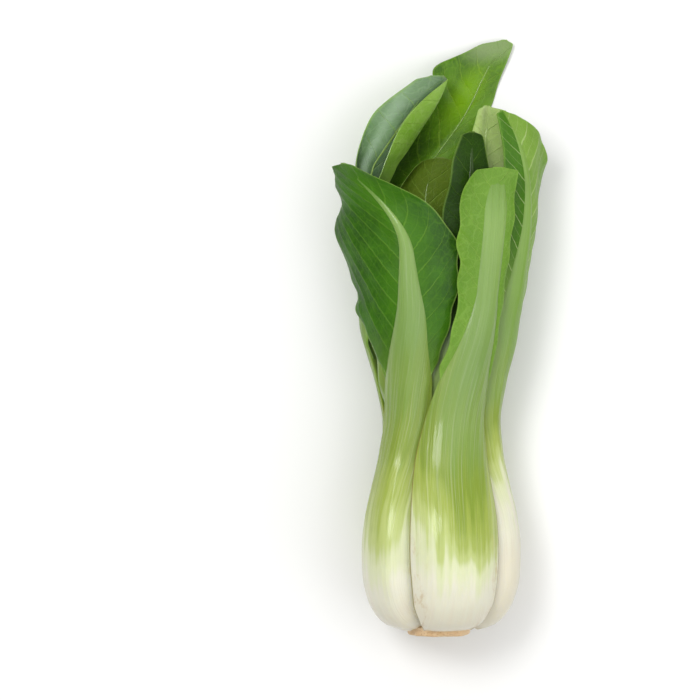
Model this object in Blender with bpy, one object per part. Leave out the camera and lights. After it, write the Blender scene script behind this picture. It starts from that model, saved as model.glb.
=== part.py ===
# Bok choy head, lying on its side with the cut end towards -Y and the leaf tips towards +Y.
# Every leaf is a pale stalk that runs on as the midrib, and a green blade on both sides of it.
# The leaves sit in nested shells round the head's axis, so none of them crosses another.
# Heights run along the axis from the cut end. Lengths in the tables are millimetres.

import math

import bmesh
import bpy
import numpy as np

MM = 0.001

# Outer form of the head, before it is pressed: height, radius
ENVELOPE = [(0, 10.5), (2, 16), (6, 21.5), (12, 25), (20, 26.7), (30, 27), (40, 26), (50, 23.6),
            (60, 21.2), (70, 20.3), (85, 23.3), (100, 28), (120, 32), (140, 34.2), (165, 34), (200, 31)]
# How deep the head is for its width: height, ratio
FLATNESS = [(0, 0.98), (30, 0.98), (65, 0.88), (100, 0.78), (140, 0.67), (200, 0.67)]
# Sideways lean of the tops: height, shift to +X, in full for the leaves at the back
LEAN = [(0, 0), (145, 0), (156, 2.5), (161, 6), (167, 10.5), (172, 14), (178, 17.5), (187, 21.5), (200, 28.5)]
LEAN_FRONT_SHARE = 0.1
LEAN_FROM = -4.0  # depth below the axis where the lean sets in, and where it is full
LEAN_TO = 12.0
RESTING_DEPTH = 21.8  # from the axis down to the surface that the head lies on
ANCHOR = 14.0  # the leaf bases all point at this height on the axis

LEAF_COUNT = 11
FIRST_ANGLE = 14.0  # from the side that faces up, towards +X
GOLDEN_ANGLE = 137.5
# One row for each leaf, outermost first: tip height, blade start, nudge off its place in the spiral,
# sway, bend near the tip, size, width of the blade's left and right half, where it is widest,
# how pointed it is, least share of the stalk's width that the midrib keeps, tip curl, edge curl, wave
LEAVES = [
    (155, 82, 0, 18, 0, 1.00, 0.22, 0.05, 0.78, 0.50, 0.42, 3.0, 2.0, 1.2),
    (200, 96, 16, 24, 0, 1.00, 0.14, 0.66, 0.60, 0.60, 0.12, 0.0, 1.0, 1.4),
    (157, 84, 16, 34, -48, 1.00, 0.98, 0.44, 0.60, 0.60, 0.12, 2.0, 1.2, 1.3),
    (174, 88, 12, -10, -26, 0.98, 0.22, 0.68, 0.52, 0.75, 0.12, 1.0, 1.5, 1.5),
    (187, 92, 16, 31, -5, 0.96, 0.22, 0.30, 0.42, 1.00, 0.12, 2.0, 1.0, 1.3),
    (167, 86, 0, 40, 0, 0.88, 0.14, 0.22, 0.64, 0.60, 0.12, 1.0, 0.5, 1.2),
    (162, 84, 0, 0, 0, 0.86, 0.80, 0.80, 0.60, 0.50, 0.12, 1.0, 0.5, 1.0),
    (148, 82, 0, 8, 0, 0.82, 0.70, 0.70, 0.60, 0.50, 0.12, 1.0, 0.5, 1.0),
    (176, 78, -3, 20, 0, 0.74, 0.16, 0.26, 0.78, 0.50, 0.12, 0.5, 0.3, 0.8),
    (160, 76, 0, 20, 0, 0.66, 0.46, 0.46, 0.60, 0.60, 0.12, 0.5, 0.3, 0.6),
    (116, 70, -30, 0, 0, 0.46, 0.44, 0.44, 0.60, 0.50, 0.12, 0.3, 0.2, 0.3),
]

# A full-size stalk below the blade: height, half width, and height, thickness
STALK_HALF_WIDTH = [(0, 8), (4, 12), (12, 16.4), (30, 18.4), (58, 15.4), (75, 11.5), (96, 7.6)]
STALK_THICKNESS = [(0, 3.2), (5, 4.2), (15, 6.2), (30, 7.0), (58, 5.8), (84, 4.2), (96, 3.6)]
# The midrib above it, as shares of the stalk where the blade starts: share of the blade, share
RIB_WIDTH = [(0, 1), (0.2, 0.66), (0.45, 0.4), (0.7, 0.25), (1, 0.12)]
RIB_THICKNESS = [(0, 1), (0.2, 0.7), (0.45, 0.5), (0.7, 0.38), (1, 0.28)]
THICKNESS_POWER = 1.5  # how a small leaf's thickness follows its size
RIB_END = 0.86
STALK_EDGE = 1.1  # thickness at a stalk's two edges
STALK_FOOT = 2.0  # height at which the stalks start, above the cut face
WIDE_MARGIN = 0.45  # how much wider than the stalk its hollow in the leaves inside is
WIDEST_STALK = 70  # degrees either side of the midrib
WIDEST_BLADE = 80

BLADE_HALF_WIDTH = 30.0
BLADE_THICKNESS = 0.8
BLADE_CLEAR = 0.03  # how far the lowest blade stays above the flat spot that the head rests on
BLADE_TIP_ROUND = 2.2
BLADE_BASE_POWER = 1.5
BLADE_FIRST_WING = 0.9
BLADE_RISE = (20, 26)  # the stalk's curve gives way to the blade's from this far below to this far above
SLIT = (0.8, 1.0)  # gap between midrib and blade, for a large leaf and for a small one
GAP = 0.8  # gap between one leaf and the next
AIR = 1.6  # extra room round a blade
EDGE_MARGIN = 36.0  # degrees over which a blade's room fades out beside it
INNER_STEP = 0.3  # how much nearer to the axis each next leaf stands, up where the blades are
INNER_STEP_FROM = 60
INNER_STEP_TO = 125
WAVES = 2.6
COVERED_WAVE = 0.3  # share of the waves that is left where other leaves lie outside
WAVE_WIDTH = 9.0  # a blade half narrower than this waves and curls less
SCALLOP = 0.035
SWAY_FROM = 50
SWAY_TO = 112
BEND_LENGTH = 30.0

# The short stem: radius, height, from the middle of the cut face to the blunt cone inside the leaf bases
CORE_OUTLINE = [(0, 0), (9.8, 0), (10.5, 0.6), (10.7, 1.8), (12.0, 3.0), (10.2, 4.8), (6.8, 7.6),
                (3.2, 10.4), (0, 11.6)]
CORE_SIDES = 24

HEIGHT_STEPS = 201
LARGE_LEAVES = 5
# For a large leaf and for a small one
STALK_COLUMNS = (7, 7)
STALK_ROWS = (15, 13)
ROW_GATHER = 0.7  # how much closer a stalk's rows are near its base and near the blade
BLADE_ROWS = (15, 14)
WING_COLUMNS = (5, 4)
RIB_TIP_GAP = 0.6  # from the midrib's end to where the blade closes beyond it
TIP_ROWS = 3

GREEN_STALK = (0.62, 0.72, 0.36, 1)
GREEN_BLADE = (0.10, 0.27, 0.035, 1)
CREAM_CUT = (0.78, 0.68, 0.48, 1)


def curve(points, x):
    """The value at x of a smooth curve through the points, which never overshoots them."""
    xs, ys = np.array(points, float).T
    step = np.diff(xs)
    slope = np.diff(ys) / step
    both = slope[:-1] + slope[1:]
    same = slope[:-1] * slope[1:] > 0
    inner = np.where(same, 2 * slope[:-1] * slope[1:] / np.where(same, both, 1), 0)
    tangent = np.concatenate([[slope[0]], inner, [slope[-1]]])
    x = np.asarray(x, float)
    i = np.clip(np.searchsorted(xs, x) - 1, 0, len(step) - 1)
    t = np.clip((x - xs[i]) / step[i], 0, 1)
    ends = ys[i] * (1 + 2 * t) * (1 - t) ** 2 + ys[i + 1] * t * t * (3 - 2 * t)
    return ends + step[i] * (tangent[i] * t * (1 - t) ** 2 + tangent[i + 1] * t * t * (t - 1))


def smooth(x, low, high):
    """From 0 at low to 1 at high, level at both."""
    t = np.clip((x - low) / (high - low), 0, 1)
    return t * t * (3 - 2 * t)


def turn(angle):
    """The angle in degrees, brought between -180 and 180."""
    return (np.asarray(angle, float) + 180) % 360 - 180


def press(x, y, z, lift):
    """The lying head's form: less deep than wide, with its tops leaning, and flat where it rests."""
    share = LEAN_FRONT_SHARE + (1 - LEAN_FRONT_SHARE) * smooth(-z, LEAN_FROM, LEAN_TO)
    x = x + curve(LEAN, y) * share
    z = z * curve(FLATNESS, y)
    return x, y, np.maximum(z, lift - RESTING_DEPTH)


def shell_point(angle, height, depth, lift=0):
    """The point at this angle, below the head's outer form by depth, along the way to the axis."""
    radius = curve(ENVELOPE, height)
    under = np.maximum(ANCHOR - height, 0)
    keep = 1 - depth / np.hypot(radius, under)
    y = height + under * (1 - keep)
    turned = np.radians(angle)
    return press(radius * keep * np.sin(turned), y, radius * keep * np.cos(turned), lift)


class Leaf:
    """One leaf's measures at each height, and the room that it takes from the leaves inside it."""

    heights = np.linspace(0, 200, HEIGHT_STEPS)

    def __init__(self, number, outer):
        row = LEAVES[number]
        self.tip, self.start, nudge, sway, bend, self.size = row[:6]
        self.half_blades = row[6:8]
        self.widest, self.point, rib_kept, self.tip_curl, self.edge_curl, self.wave = row[8:]
        self.number = number
        self.kind = 0 if number < LARGE_LEAVES else 1
        self.outer = outer
        h = self.heights
        self.mid_angles = FIRST_ANGLE + GOLDEN_ANGLE * number + nudge + sway * smooth(h, SWAY_FROM, SWAY_TO)
        self.mid_angles += bend * np.clip((h - self.tip) / BEND_LENGTH + 1, 0, 1) ** 2
        v = self.share(h)
        in_blade = h > self.start
        width = self.size * curve(STALK_HALF_WIDTH, np.minimum(h, self.start))
        thick = self.size ** THICKNESS_POWER * curve(STALK_THICKNESS, np.minimum(h, self.start))
        self.half_widths = np.where(in_blade, width * np.maximum(curve(RIB_WIDTH, v), rib_kept), width)
        self.thicknesses = np.where(in_blade, np.maximum(thick * curve(RIB_THICKNESS, v), 1.2), thick)
        self.blend = smooth(h, self.start - BLADE_RISE[0], self.start + BLADE_RISE[1])
        self.inset = number * INNER_STEP * smooth(h, INNER_STEP_FROM, INNER_STEP_TO)
        depths = self.cover(self.mid_angles, h) + self.inset
        envelope = curve(ENVELOPE, h)
        reach = np.hypot(envelope, np.maximum(ANCHOR - h, 0))
        outer_radii = np.maximum(reach - depths, 3) * envelope / reach
        inner_radii = np.maximum(reach - depths - self.thicknesses, 3) * envelope / reach
        self.radii = outer_radii + (inner_radii - outer_radii) * self.blend
        self.stalk_angles = np.minimum(np.degrees(self.half_widths / self.radii), WIDEST_STALK)
        beside = self.half_widths + SLIT[self.kind]
        edges = [beside + self.wing(v, half) for half in self.half_blades]
        widest = [beside + self.wing(np.minimum(v, self.widest), half) for half in self.half_blades]
        self.edge_angles = np.minimum(np.degrees(edges / self.radii), WIDEST_BLADE)
        self.blade_angles = np.minimum(np.degrees(widest / self.radii), WIDEST_BLADE) * (1 + SCALLOP)

    def at(self, values, height):
        return np.interp(height, self.heights, values)

    def on_side(self, values, side, height):
        """A measure that the blade's two halves have each of their own."""
        return np.where(side < 0, self.at(values[0], height), self.at(values[1], height))

    def share(self, height):
        return np.clip((height - self.start) / (self.tip - self.start), 0, 1)

    def wing(self, v, half):
        """The width of a blade half beside the midrib, at share v of its length."""
        rise = np.clip(v / self.widest, 0, 1)
        fall = np.clip((v - self.widest) / (1 - self.widest), 0, 0.9985)
        shape = np.sin(rise * math.pi / 2) ** BLADE_BASE_POWER * (1 - fall ** BLADE_TIP_ROUND) ** self.point
        return BLADE_FIRST_WING + BLADE_HALF_WIDTH * half * shape

    def hollow(self, off, height):
        """How deep the leaf's inner face lies under its slot, at an angle off its midrib."""
        bell_width = self.at(self.stalk_angles, height) * (1 + WIDE_MARGIN)
        bell = np.clip(1 - (off / bell_width) ** 2, 0, 1) ** 1.5
        blend = self.at(self.blend, height)
        return STALK_EDGE + (self.at(self.thicknesses, height) - STALK_EDGE) * (bell * (1 - blend) + blend)

    def room(self, angle, height):
        """The depth that this leaf keeps free of the leaves inside it."""
        off = turn(angle - self.at(self.mid_angles, height))
        limit = self.on_side(self.blade_angles, off, height)
        off = np.abs(off)
        blend = self.at(self.blend, height)
        stalk = self.at(self.stalk_angles, height)
        limit = np.maximum(limit, stalk)
        margin = stalk * WIDE_MARGIN * (1 - blend) + EDGE_MARGIN * blend
        fade = 1 - smooth(off, limit, limit + margin)
        return (self.hollow(off, height) + GAP + AIR * self.size * blend) * fade

    def cover(self, angle, height):
        return sum(leaf.room(angle, height) for leaf in self.outer)

    def inner_face(self, off, height):
        """The angle and depth of the leaf's inner face, and how free it is of leaves outside, up to 1."""
        angle = self.at(self.mid_angles, height) + off
        cover = self.cover(angle, height)
        free = 1 - smooth(cover, 0.2, 3)
        depth = cover + self.at(self.inset, height) + self.hollow(off, height)
        return angle, depth - self.tip_curl * self.share(height) ** 5 * free, free

    def stalk_point(self, across, height, outside):
        """A point of the stalk: across runs from -1 to 1, outside is 0 on its inner face, 1 on its outer."""
        off = across * self.at(self.stalk_angles, height)
        angle, depth, free = self.inner_face(off, height)
        thick = self.at(self.thicknesses, height)
        across_shape = STALK_EDGE + (thick - STALK_EDGE) * (1 - across ** 2)
        return shell_point(angle, height, depth - outside * across_shape)

    def blade_point(self, side, across, v):
        """A point of the blade's inner face: across runs from 0 beside the midrib to 1 at the edge."""
        height = self.start + v * (self.tip - self.start)
        slit = self.at(self.half_widths, height) + SLIT[self.kind]
        slit = slit + (BLADE_FIRST_WING - slit) * smooth(v, RIB_END, 1)
        radius = self.at(self.radii, height)
        slit = np.degrees(slit / radius)
        phase = 2.4 * self.number + 1.3 * side
        scallop = 1 + SCALLOP * np.sin(2 * math.pi * 2 * WAVES * v + phase)
        edge = self.on_side(self.edge_angles, side, height) * scallop
        off = side * (slit + across * np.maximum(edge - slit, 1))
        angle, depth, free = self.inner_face(off, height)
        ripple = self.wave * across ** 2 * np.sin(2 * math.pi * WAVES * v + phase)
        wide = smooth(np.radians(edge - slit) * radius, 0, WAVE_WIDTH)
        ripple = ripple * (COVERED_WAVE + (1 - COVERED_WAVE) * free) * smooth(v, 0.05, 0.4) * wide
        curl = self.edge_curl * across ** 3 * smooth(v, 0.2, 0.7) * free * wide
        return shell_point(angle, height, depth - curl - ripple, BLADE_THICKNESS + BLADE_CLEAR)


def material(name, colour, roughness):
    made = bpy.data.materials.new(name)
    made.use_nodes = True
    made.diffuse_color = colour
    shader = made.node_tree.nodes["Principled BSDF"]
    shader.inputs["Base Color"].default_value = colour
    shader.inputs["Roughness"].default_value = roughness
    shader.inputs["Metallic"].default_value = 0
    return made


def add_object(name, bm, finish, parent):
    mesh = bpy.data.meshes.new(name)
    bm.to_mesh(mesh)
    bm.free()
    mesh.materials.append(finish)
    mesh.shade_smooth()
    mesh.set_sharp_from_angle(angle=math.radians(50))
    made = bpy.data.objects.new(name, mesh)
    made.parent = parent
    bpy.context.scene.collection.objects.link(made)
    return made


def grid_shares(bm):
    """Each vertex of a new grid as (across from -1 to 1, along from 0 to 1)."""
    flat = np.array([vertex.co[:2] for vertex in bm.verts])
    return flat[:, 0], (flat[:, 1] + 1) / 2


def set_points(vertices, points):
    for vertex, x, y, z in zip(vertices, *points):
        vertex.co = (x * MM, y * MM, z * MM)


def leaf_rows(leaf, rows):
    """The blade's rows as shares of its length: those along the midrib, and those beyond its end."""
    along_rib = np.linspace(0, RIB_END, rows - TIP_ROWS - 1)
    closed = RIB_END + RIB_TIP_GAP / (leaf.tip - leaf.start)
    beyond = 1 - (1 - closed) * (1 - np.linspace(0, 1, TIP_ROWS + 1)) ** 1.5
    return along_rib, beyond


def stalk_mesh(leaf):
    """A slab with a flat inner face and a rounded outer one, narrowing into the midrib."""
    along_rib = leaf_rows(leaf, BLADE_ROWS[leaf.kind])[0]
    even = np.linspace(0, 1, STALK_ROWS[leaf.kind])
    gathered = even + ROW_GATHER * (0.5 - 0.5 * np.cos(math.pi * even) - even)
    below = STALK_FOOT + (leaf.start - STALK_FOOT) * gathered
    heights = np.concatenate([below, leaf.start + along_rib[1:] * (leaf.tip - leaf.start)])
    bm = bmesh.new()
    bmesh.ops.create_grid(bm, x_segments=STALK_COLUMNS[leaf.kind] - 1, y_segments=len(heights) - 1, size=1)
    across, along = grid_shares(bm)
    inner = list(bm.verts)
    height = heights[np.rint(along * (len(heights) - 1)).astype(int)]
    made = bmesh.ops.extrude_face_region(bm, geom=bm.faces[:], use_keep_orig=True)
    outer = [item for item in made["geom"] if isinstance(item, bmesh.types.BMVert)]
    place = {(round(v.co.x, 5), round(v.co.y, 5)): i for i, v in enumerate(inner)}
    order = [place[(round(v.co.x, 5), round(v.co.y, 5))] for v in outer]
    set_points(outer, leaf.stalk_point(across[order], height[order], 1))
    set_points(inner, leaf.stalk_point(across, height, 0))
    bmesh.ops.recalc_face_normals(bm, faces=bm.faces[:])
    return bm


def blade_mesh(leaf):
    """A thin sheet with a slit for the midrib, cut into triangles before it gets its thickness."""
    along_rib, beyond = leaf_rows(leaf, BLADE_ROWS[leaf.kind])
    shares = np.concatenate([along_rib, beyond])
    columns = 2 * WING_COLUMNS[leaf.kind] + 1
    bm = bmesh.new()
    bmesh.ops.create_grid(bm, x_segments=columns, y_segments=len(shares) - 1, size=1)
    across, along = grid_shares(bm)
    row = np.rint(along * (len(shares) - 1)).astype(int)
    slit = []
    for face in bm.faces:
        middle = face.calc_center_median()
        if abs(middle.x) < 0.5 / columns and (middle.y + 1) / 2 * (len(shares) - 1) < len(along_rib):
            slit.append(face)
    out = np.clip((np.abs(across) * columns - 1) / (columns - 1), 0, 1)
    points = leaf.blade_point(np.sign(across), out, shares[row])
    bmesh.ops.delete(bm, geom=slit, context="FACES")
    set_points(bm.verts, points)
    bmesh.ops.triangulate(bm, faces=bm.faces[:], quad_method="SHORT_EDGE")
    return bm


def add_blade(leaf, finish, parent):
    blade = add_object(f"blade_{leaf.number + 1:02d}", blade_mesh(leaf), finish, parent)
    thickness = blade.modifiers.new("Thickness", "SOLIDIFY")
    thickness.thickness = BLADE_THICKNESS * MM
    thickness.offset = 1
    thickness.use_even_offset = False
    return blade


def add_core(finish, parent):
    """The short stem that the leaves grow from: its cut face, and a blunt cone inside the leaf bases."""
    bm = bmesh.new()
    points = [bm.verts.new((r * MM, y * MM, 0)) for r, y in CORE_OUTLINE]
    edges = [bm.edges.new(pair) for pair in zip(points, points[1:])]
    bmesh.ops.spin(bm, geom=points + edges, cent=(0, 0, 0), axis=(0, 1, 0), angle=2 * math.pi,
                   steps=CORE_SIDES, use_merge=True)
    bmesh.ops.remove_doubles(bm, verts=bm.verts[:], dist=0.01 * MM)
    bmesh.ops.recalc_face_normals(bm, faces=bm.faces[:])
    for vertex in bm.verts:
        vertex.co.z *= float(curve(FLATNESS, vertex.co.y / MM))
    return add_object("stem_base", bm, finish, parent)


def lowest_and_highest(objects):
    graph = bpy.context.evaluated_depsgraph_get()
    corners = []
    for item in objects:
        mesh = item.evaluated_get(graph).to_mesh()
        corners += [vertex.co[:] for vertex in mesh.vertices]
        item.evaluated_get(graph).to_mesh_clear()
    return np.min(corners, axis=0), np.max(corners, axis=0)


def build():
    for item in list(bpy.data.objects):
        bpy.data.objects.remove(item, do_unlink=True)
    stalk_finish = material("stalk", GREEN_STALK, 0.35)
    blade_finish = material("blade", GREEN_BLADE, 0.4)
    cut_finish = material("cut_stem", CREAM_CUT, 0.7)
    head = bpy.data.objects.new("head", None)
    bpy.context.scene.collection.objects.link(head)
    made = [add_core(cut_finish, head)]
    leaves = []
    for number in range(LEAF_COUNT):
        leaf = Leaf(number, list(leaves))
        leaves.append(leaf)
        made.append(add_object(f"stalk_{number + 1:02d}", stalk_mesh(leaf), stalk_finish, head))
        made.append(add_blade(leaf, blade_finish, head))
    bpy.context.view_layer.update()
    low, high = lowest_and_highest(made)
    head.location = (-(low[0] + high[0]) / 2, -(low[1] + high[1]) / 2, -low[2])


build()
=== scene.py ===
import math

import bmesh
import bpy
import numpy as np
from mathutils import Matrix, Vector


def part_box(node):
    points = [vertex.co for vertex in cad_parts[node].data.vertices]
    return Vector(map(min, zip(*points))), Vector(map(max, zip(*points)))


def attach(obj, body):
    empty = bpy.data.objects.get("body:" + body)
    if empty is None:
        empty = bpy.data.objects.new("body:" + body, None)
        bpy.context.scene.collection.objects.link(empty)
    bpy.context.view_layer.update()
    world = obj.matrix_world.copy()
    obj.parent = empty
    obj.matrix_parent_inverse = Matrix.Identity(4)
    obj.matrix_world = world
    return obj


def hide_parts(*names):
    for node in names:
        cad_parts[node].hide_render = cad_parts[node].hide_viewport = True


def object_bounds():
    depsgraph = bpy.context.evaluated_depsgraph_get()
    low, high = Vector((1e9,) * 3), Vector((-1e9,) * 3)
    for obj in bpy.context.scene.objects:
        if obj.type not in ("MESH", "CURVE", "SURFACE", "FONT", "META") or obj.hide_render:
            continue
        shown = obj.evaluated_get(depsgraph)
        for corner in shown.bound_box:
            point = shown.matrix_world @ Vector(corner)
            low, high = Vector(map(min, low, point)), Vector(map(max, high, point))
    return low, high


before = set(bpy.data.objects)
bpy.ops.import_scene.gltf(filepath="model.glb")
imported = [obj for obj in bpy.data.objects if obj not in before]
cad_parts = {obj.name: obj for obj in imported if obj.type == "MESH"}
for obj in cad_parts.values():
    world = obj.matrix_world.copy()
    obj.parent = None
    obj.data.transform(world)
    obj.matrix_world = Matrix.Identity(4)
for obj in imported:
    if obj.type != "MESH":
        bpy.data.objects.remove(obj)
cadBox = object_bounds()
mm = 0.001
print("frame loaded with", len(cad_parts), "nodes")

# The head lies along Y with its cut end towards -Y.
# The short stem gives the axis that all leaves stand round.
stemLow, stemHigh = (np.array(corner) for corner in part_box("stem_base"))
axisPlace = np.array([(stemLow[0] + stemHigh[0]) / 2, stemLow[1], (stemLow[2] + stemHigh[2]) / 2])

# The head's outer form. Heights run in millimetres along the axis from the cut end.
head = {
    "outline": [(0, 10.5), (2, 16), (6, 21.5), (12, 25), (20, 26.7), (30, 27), (40, 26), (50, 23.6),
                (60, 21.2), (70, 20.3), (85, 23.3), (100, 28), (120, 32), (140, 34.2), (165, 34), (200, 31)],
    # how deep the head is, as a share of how wide it is
    "flatness": [(0, 0.98), (30, 0.98), (65, 0.88), (100, 0.78), (140, 0.67), (200, 0.67)],
    # how far the tops at the back lean to one side, in mm
    "lean": [(0, 0), (145, 0), (156, 2.5), (161, 6), (167, 10.5), (172, 14), (178, 17.5), (187, 21.5),
             (200, 28.5)],
    "frontLean": 0.1,  # share of that lean for the leaves in front
    "leanFrom": -4.0,  # depth behind the axis where the full lean sets in, and where it is reached
    "leanTo": 12.0,
    "restDepth": 21.8,  # from the axis down to the surface that the head rests on
    "anchor": 14.0,  # the height that the inner leaf bases are drawn towards
    "firstAngle": 14.0,
    "goldenAngle": 137.5,
}

# One row for each leaf, outermost first: heights of the tip and of the blade's start; degrees that its foot,
# its middle and its tip are turned; its size; widths of its two halves; where it is widest and how pointed it
# is; how much of the midrib's width is kept; and how far tip, edges and waves stand off
leafColumns = ("tip", "start", "nudge", "sway", "bend", "size", "left", "right", "widest", "point", "ribKept",
               "tipCurl", "edgeCurl", "wave")
leafTable = [
    (155, 82, 0, 18, 0, 1.00, 0.22, 0.05, 0.78, 0.50, 0.42, 3.0, 2.0, 1.2),
    (200, 96, 16, 24, 0, 1.00, 0.14, 0.66, 0.60, 0.60, 0.12, 0.0, 1.0, 1.4),
    (157, 84, 16, 34, -48, 1.00, 0.98, 0.44, 0.60, 0.60, 0.12, 2.0, 1.2, 1.3),
    (174, 88, 12, -10, -26, 0.98, 0.22, 0.68, 0.52, 0.75, 0.12, 1.0, 1.5, 1.5),
    (187, 92, 16, 31, -5, 0.96, 0.22, 0.30, 0.42, 1.00, 0.12, 2.0, 1.0, 1.3),
    (167, 86, 0, 40, 0, 0.88, 0.14, 0.22, 0.64, 0.60, 0.12, 1.0, 0.5, 1.2),
    (162, 84, 0, 0, 0, 0.86, 0.80, 0.80, 0.60, 0.50, 0.12, 1.0, 0.5, 1.0),
    (148, 82, 0, 8, 0, 0.82, 0.70, 0.70, 0.60, 0.50, 0.12, 1.0, 0.5, 1.0),
    (176, 78, -3, 20, 0, 0.74, 0.16, 0.26, 0.78, 0.50, 0.12, 0.5, 0.3, 0.8),
    (160, 76, 0, 20, 0, 0.66, 0.46, 0.46, 0.60, 0.60, 0.12, 0.5, 0.3, 0.6),
    (116, 70, -30, 0, 0, 0.46, 0.44, 0.44, 0.60, 0.50, 0.12, 0.3, 0.2, 0.3),
]

# How every leaf is made: its stalk, the midrib above it and the blade
leafForm = {
    "halfWidth": [(0, 8), (4, 12), (12, 16.4), (30, 18.4), (58, 15.4), (75, 11.5), (96, 7.6)],
    "thickness": [(0, 3.2), (5, 4.2), (15, 6.2), (30, 7.0), (58, 5.8), (84, 4.2), (96, 3.6)],
    # the midrib's shares of both, along the blade
    "ribWidth": [(0, 1), (0.2, 0.66), (0.45, 0.4), (0.7, 0.25), (1, 0.12)],
    "ribThickness": [(0, 1), (0.2, 0.7), (0.45, 0.5), (0.7, 0.38), (1, 0.28)],
    "thicknessPower": 1.5,  # small leaves are thinner than their size alone would make them
    "stalkEdge": 1.1,  # thickness at a stalk's two edges
    "wideMargin": 0.45,  # share of its width that a stalk's hump runs on beyond the edge
    "widestStalk": 70,  # degrees round the axis that a half reaches at most
    "widestBlade": 80,
    "bladeHalfWidth": 30.0,
    "bladeThickness": 0.8,
    "bladeClear": 0.03,  # above the resting surface
    "tipRound": 2.2,  # larger is rounder
    "basePower": 1.5,  # larger is more hollow at the base
    "firstWing": 0.9,  # the least width of blade beside the midrib
    "rise": (20, 26),  # mm below and above the blade's start over which the stalk comes out of it
    "slit": (0.8, 1.0),  # between midrib and blade, for large and small leaves
    "gap": 0.8,  # kept free between leaves
    "air": 1.6,  # and added to that among the blades
    "edgeMargin": 36.0,  # degrees over which a leaf's room ends beyond its edge
    "innerStep": 0.3,  # deeper for each leaf further in, between the next two heights
    "innerStepFrom": 60,
    "innerStepTo": 125,
    "waves": 2.6,  # along a blade
    "coveredWave": 0.3,  # how much of them is left under another leaf
    "waveWidth": 9.0,  # narrower halves wave less
    "scallop": 0.035,
    "swayFrom": 50,  # a leaf turns by its sway between these heights
    "swayTo": 112,
    "bendLength": 30.0,  # mm below the tip over which it bends
    "largeLeaves": 5,
}


def curveAt(points, x):
    # A smooth curve through the points that never overshoots them
    xs, ys = np.array(points, float).T
    step = np.diff(xs)
    slope = np.diff(ys) / step
    both = slope[:-1] + slope[1:]
    same = slope[:-1] * slope[1:] > 0
    inner = np.where(same, 2 * slope[:-1] * slope[1:] / np.where(same, both, 1), 0)
    tangent = np.concatenate([[slope[0]], inner, [slope[-1]]])
    x = np.asarray(x, float)
    i = np.clip(np.searchsorted(xs, x) - 1, 0, len(step) - 1)
    t = np.clip((x - xs[i]) / step[i], 0, 1)
    ends = ys[i] * (1 + 2 * t) * (1 - t) ** 2 + ys[i + 1] * t * t * (3 - 2 * t)
    return ends + step[i] * (tangent[i] * t * (1 - t) ** 2 + tangent[i + 1] * t * t * (t - 1))


def smooth(x, low, high):
    t = np.clip((x - low) / (high - low), 0, 1)
    return t * t * (3 - 2 * t)


def turned(angle):
    return (np.asarray(angle, float) + 180) % 360 - 180


def ripples(x, y, seed, scale):
    # Soft unevenness between -1 and 1, the same each run
    total = 0
    for step in range(4):
        a, b, c = 0.9 + 0.37 * step, 1.3 - 0.21 * step, seed * (1.7 + step)
        total = total + np.sin((a * x + b * y) / scale + c) * np.cos((b * x - a * y) / scale * 0.83 + 2.1 * c)
    return total / 2.6


def press(x, y, z, lift):
    share = head["frontLean"] + (1 - head["frontLean"]) * smooth(-z, head["leanFrom"], head["leanTo"])
    x = x + curveAt(head["lean"], y) * share
    z = z * curveAt(head["flatness"], y)
    return x, y, np.maximum(z, lift - head["restDepth"])


def shellPoint(angle, height, depth, lift=0):
    radius = curveAt(head["outline"], height)
    under = np.maximum(head["anchor"] - height, 0)
    keep = 1 - depth / np.hypot(radius, under)
    y = height + under * (1 - keep)
    around = np.radians(angle)
    return press(radius * keep * np.sin(around), y, radius * keep * np.cos(around), lift)


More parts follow.
